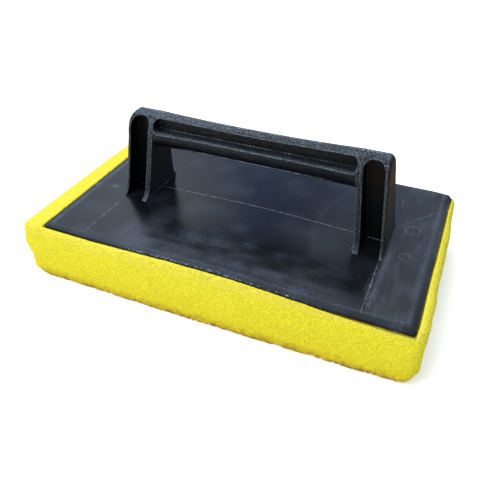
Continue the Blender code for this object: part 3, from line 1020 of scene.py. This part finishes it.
def sawn_foam(tree):
    """Yellow polyurethane: light scattered inside it, dark pits of cell size that are painted shade, and
    colours by height, with painted shade at the foot and painted light at the top, which noise shifts up and
    down a little so that they don't run in level bands."""
    place = add(tree, "ShaderNodeTexCoord").outputs["Object"]
    share_up = add(tree, "ShaderNodeAttribute", {"attribute_name": "share_up"})
    patches = add(tree, "ShaderNodeTexNoise", inputs={
        "Vector": place, "Scale": 1 / (HEIGHT_SHADE_PATCH_SIZE * MM), "Detail": 4.0})
    shift = add(tree, "ShaderNodeMapRange", inputs={
        "Value": patches.outputs["Fac"], "From Min": 0.25, "From Max": 0.75, "To Min": -0.08, "To Max": 0.08})
    height = add(tree, "ShaderNodeMath", {"operation": "ADD"},
                 {0: shift.outputs["Result"], 1: share_up.outputs["Fac"]})
    shades = add(tree, "ShaderNodeValToRGB", inputs={"Fac": height.outputs["Value"]}, stops=FOAM_SHADES)
    cells = add(tree, "ShaderNodeTexVoronoi", inputs={"Vector": place, "Scale": 1 / (CELL_SIZE * MM)})
    # The pits' dark ochre is painted shade in the cells' hollows.
    pits = add(tree, "ShaderNodeValToRGB", inputs={"Fac": cells.outputs["Distance"]},
               stops=((0.0, "#a98f3a"), (0.62, "#ffffff")))
    colour = add(tree, "ShaderNodeMix", {"data_type": "RGBA", "blend_type": "MULTIPLY"}, {
        "Factor": CELL_SHADE, "A": shades.outputs["Color"], "B": pits.outputs["Color"]})
    bump = add(tree, "ShaderNodeBump", inputs={
        "Height": cells.outputs["Distance"], "Distance": CELL_DEPTH * MM})
    return {"Base Color": colour.outputs["Result"], "Roughness": 0.9, "Normal": bump.outputs["Normal"],
            "IOR": 1.45, "Specular IOR Level": 0.15, "Subsurface Weight": 0.15, "Subsurface Scale": 0.002,
            "Subsurface Radius": (1.0, 0.9, 0.12)}


dress(foam, "sawn_open_cell_polyurethane", sawn_foam)

# %% [markdown]
# ## Adhesive film
#
# The film lies between the moulding and the foam and follows the moulding's bow. It is a sheet
# with a ragged edge where the glue crept, so it is made in the same way as the plate.

# %% Adhesive
FILM_SPACING, CREEP_SHARE = 2.5, 0.008
ROLLER_MARK_SIZE, ROLLER_MARK_DEPTH = 8.33, 0.1
film_low, film_high = (np.array(corner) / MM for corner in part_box("bond_film"))


def make_film():
    """A thin block that bows with the plate; its edge wanders in and out by noise."""
    half = (film_high - film_low) / 2
    points, faces = block_skin(even_lines(-half[0], half[0], FILM_SPACING),
                               even_lines(-half[1], half[1], FILM_SPACING),
                               np.array([0.0, film_high[2] - film_low[2]]))
    edge = (np.abs(points[:, :2]) > half[:2] - 0.1).any(axis=1)
    points[:, :2] *= (1 - CREEP_SHARE * edge * (noise(points, 9.0, 51) + 1))[:, None]
    points[:, 2] += bow(points[:, 0])
    return make_piece("creeping_glue_film", points + (CENTRE_X, CENTRE_Y, film_low[2]), faces)


def dried_adhesive(tree):
    """Dried contact adhesive: clear, yellowish and slightly glossy."""
    place = add(tree, "ShaderNodeTexCoord").outputs["Object"]
    runs = add(tree, "ShaderNodeTexNoise", inputs={
        "Vector": place, "Scale": 1 / (ROLLER_MARK_SIZE * MM), "Detail": 3.0})
    bump = add(tree, "ShaderNodeBump", inputs={
        "Height": runs.outputs["Fac"], "Strength": 0.5, "Distance": ROLLER_MARK_DEPTH * MM})
    amber = add(tree, "ShaderNodeValToRGB", inputs={"Fac": runs.outputs["Fac"]},
                stops=((0.3, "#8d8458"), (0.7, "#b8ad74")))
    return {"Base Color": amber.outputs["Color"], "Roughness": 0.35, "Normal": bump.outputs["Normal"],
            "IOR": 1.47}


film = make_film()
dress(film, "rolled_contact_adhesive", dried_adhesive)

# %% [markdown]
# ## Bodies
#
# The moulding rides on the handle's body. The foam rides on its own body, which moves up as the
# foam is pressed.

# %% Bodies
for piece in (plate, handle, flash):
    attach(piece, "handle")
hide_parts("handle_plate")
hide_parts("handle_plate")
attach(film, "handle")
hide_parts("bond_film")
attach(foam, "foam")
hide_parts("foam_block")
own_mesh(foam)

# %% [markdown]
# ## Floor and light
#
# Dark plastic shows mostly what it reflects, so the room is painted for that: a bluish ceiling,
# two pale windows behind, a dim wall between them and warm darkness low down. An image of a room
# would do as well, but a few soft patches say plainly what each reflection is. The foam is matt
# and wants broad even light, which comes from soft lamps. The lamps and the floor are kept out of
# the reflections, as black flags do in a studio, or the plastic would go grey.

# %% Floor and light
ROOM_HEIGHTS = ((0.0, "#6f6150"), (0.06, "#565d66"), (0.5, "#8f9daf"), (1.0, "#a6b5c6"))
# Each patch: azimuth, elevation and reach in degrees, then its colour and how fully it covers.
ROOM_PATCHES = ((-52, 32, 27.5, "#c9dbf2", 1.0), (8, 38, 34, "#c3d8f4", 1.0), (-21, 36, 18, "#45639a", 0.95),
                (-18, 40, 9, "#36434f", 0.75), (-12, 41, 6, "#36434f", 0.5), (-3.5, 36, 6, "#36424e", 0.8),
                (-24, 34.5, 5, "#9dbcf5", 0.5), (-34, 31, 6, "#d6e4f4", 0.6), (-35, 36.5, 7, "#f0f8ff", 1.0),
                (-6, 46, 9, "#eaf4ff", 1.0), (60, 5, 45, "#5a4a3a", 0.9), (115, 25, 50, "#2f3640", 0.85))
ROOM_STRENGTH = 1.38
FLOOR_HALF, FLOOR_GLOW = 3000.0, 0.35


def make_floor():
    """A wide white floor, just under the foam, that glows a little, as paper lit from below does."""
    corners = FLOOR_HALF * np.array([(-1, -1, 0), (1, -1, 0), (1, 1, 0), (-1, 1, 0)])
    floor = make_piece("floor", corners, [(0, 1, 2, 3)])
    dress(floor, "white_paper_floor", lambda tree: {
        "Base Color": linear("#f6f6f4"), "Roughness": 0.9, "Emission Color": linear("#ffffff"),
        "Emission Strength": FLOOR_GLOW})
    floor.visible_glossy = False


def heading(azimuth, elevation):
    """The direction at an azimuth, in degrees clockwise from the back, and an elevation."""
    a, e = math.radians(azimuth), math.radians(elevation)
    return np.array([math.sin(a) * math.cos(e), math.cos(a) * math.cos(e), math.sin(e)])


def soft_lamp(name, azimuth, elevation, distance, size, power, colour):
    """A round soft lamp on a sphere round the tool, facing it; lengths are in metres."""
    data = bpy.data.lights.new(name, "AREA")
    data.shape = "DISK"
    data.size = size
    data.energy = power
    data.color = linear(colour)[:3]
    lamp = bpy.data.objects.new(name, data)
    lamp.location = heading(azimuth, elevation) * distance
    lamp.rotation_euler = (math.radians(90 - elevation), 0, math.radians(180 - azimuth))
    lamp.visible_glossy = False
    bpy.context.scene.collection.objects.link(lamp)


def make_room():
    """The painted room: each patch is a colour that fades out with the angle from its heading."""
    world = bpy.data.worlds.new("painted_room")
    world.use_nodes = True
    tree = world.node_tree
    way = add(tree, "ShaderNodeTexCoord").outputs["Generated"]
    height = add(tree, "ShaderNodeSeparateXYZ", inputs={"Vector": way}).outputs["Z"]
    colour = add(tree, "ShaderNodeValToRGB", inputs={"Fac": height}, stops=ROOM_HEIGHTS).outputs["Color"]
    for azimuth, elevation, reach, patch, amount in ROOM_PATCHES:
        toward = add(tree, "ShaderNodeVectorMath", {"operation": "DOT_PRODUCT"},
                     {0: way, 1: heading(azimuth, elevation)})
        share = add(tree, "ShaderNodeMapRange", {"interpolation_type": "SMOOTHSTEP"}, {
            "Value": toward.outputs["Value"], "From Min": math.cos(math.radians(reach)), "From Max": 1.0,
            "To Max": amount})
        colour = add(tree, "ShaderNodeMix", {"data_type": "RGBA"},
                     {"Factor": share.outputs["Result"], "A": colour, "B": linear(patch)}).outputs["Result"]
    background = tree.nodes["Background"]
    tree.links.new(colour, background.inputs["Color"])
    background.inputs["Strength"].default_value = ROOM_STRENGTH
    bpy.context.scene.world = world


make_floor()
soft_lamp("left_front", 220, 48, 1.5, 1.3, 13, "#fffaf0")
soft_lamp("overhead", -60, 72, 1.6, 1.2, 16, "#ffffff")
soft_lamp("right_front", 165, 35, 1.6, 1.0, 1.5, "#f4f8ff")
make_room()
bpy.context.scene.view_settings.view_transform = "Standard"
